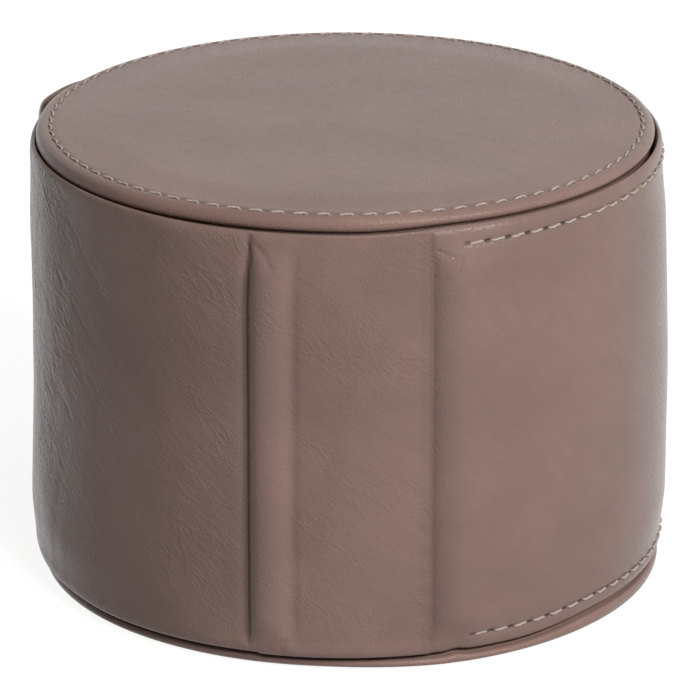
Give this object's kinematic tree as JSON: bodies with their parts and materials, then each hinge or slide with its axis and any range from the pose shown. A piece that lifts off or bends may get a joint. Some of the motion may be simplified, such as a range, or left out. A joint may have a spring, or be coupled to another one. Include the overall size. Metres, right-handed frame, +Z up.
{
  "type": "watch roll",
  "caption": "Round padded leather watch roll standing on its end, with a stitched disc at each end, raised ribs and a wrap-around flap that opens onto a loose cushion.",
  "frame": {"origin": "centre of the flat outer face of the lower end disc, which the roll stands on", "axes": "+Z up along the roll's axis; -Y is the front, where the two raised ribs are; +X is the right side, which is the fixed shell; the flap closes round the left side to the back left"},
  "size_m": [0.104, 0.104, 0.0756],
  "materials": {
    "outer_leather": "smooth taupe calfskin, soft satin, fine grain with drawn creases on the soft parts",
    "cushion_leather": "soft tan-brown suede, matt",
    "suede_lining": "tan-brown suede, matt short nap",
    "thread": "waxed cream saddle thread",
    "foam": "open-cell foam, matt",
    "fibreboard": "pressed fibreboard, raw",
    "rib_cord": "moulded strip, matt",
    "magnet": "plated",
    "steel": "thin cold-rolled sheet"
  },
  "bodies": {
    "case": {"lower_end_board": "fibreboard", "lower_end_cover": "outer_leather", "lower_end_foam": "foam", "lower_end_lining": "suede_lining", "lower_end_stitching": "thread", "right_rib_strip": "rib_cord", "shell_board": "fibreboard", "shell_leather": "outer_leather", "shell_lining": "suede_lining", "shell_lower_stitching": "thread", "shell_magnets": "magnet", "shell_padding": "foam", "shell_upper_stitching": "thread", "upper_end_board": "fibreboard", "upper_end_cover": "outer_leather", "upper_end_foam": "foam", "upper_end_lining": "suede_lining", "upper_end_stitching": "thread"},
    "hinge_panel": {"left_rib_strip": "rib_cord", "panel_board": "fibreboard", "panel_leather": "outer_leather", "panel_lining": "suede_lining", "panel_padding": "foam"},
    "flap": {"flap_board": "fibreboard", "flap_leather": "outer_leather", "flap_lining": "suede_lining", "flap_padding": "foam", "flap_strikes": "steel"},
    "cushion": {"cushion_cover": "cushion_leather", "cushion_foam": "foam", "cushion_lower_plate": "cushion_leather", "cushion_upper_plate": "cushion_leather"}
  },
  "joints": [
    {"name": "panel_hinge", "type": "hinge", "parent": "case", "child": "hinge_panel", "pos_m": [0.0139, -0.05011, 0.0384], "axis": [0, 0, 1], "range_deg": [0, 100]},
    {"name": "flap_hinge", "type": "hinge", "parent": "hinge_panel", "child": "flap", "pos_m": [-0.01633, -0.04937, 0.0384], "axis": [0, 0, 1], "range_deg": [0, 90]},
    {"name": "cushion_slide", "type": "slide", "parent": "case", "child": "cushion", "axis": [-0.7518, -0.6593, 0], "range_m": [0, 0.024]}
  ]
}
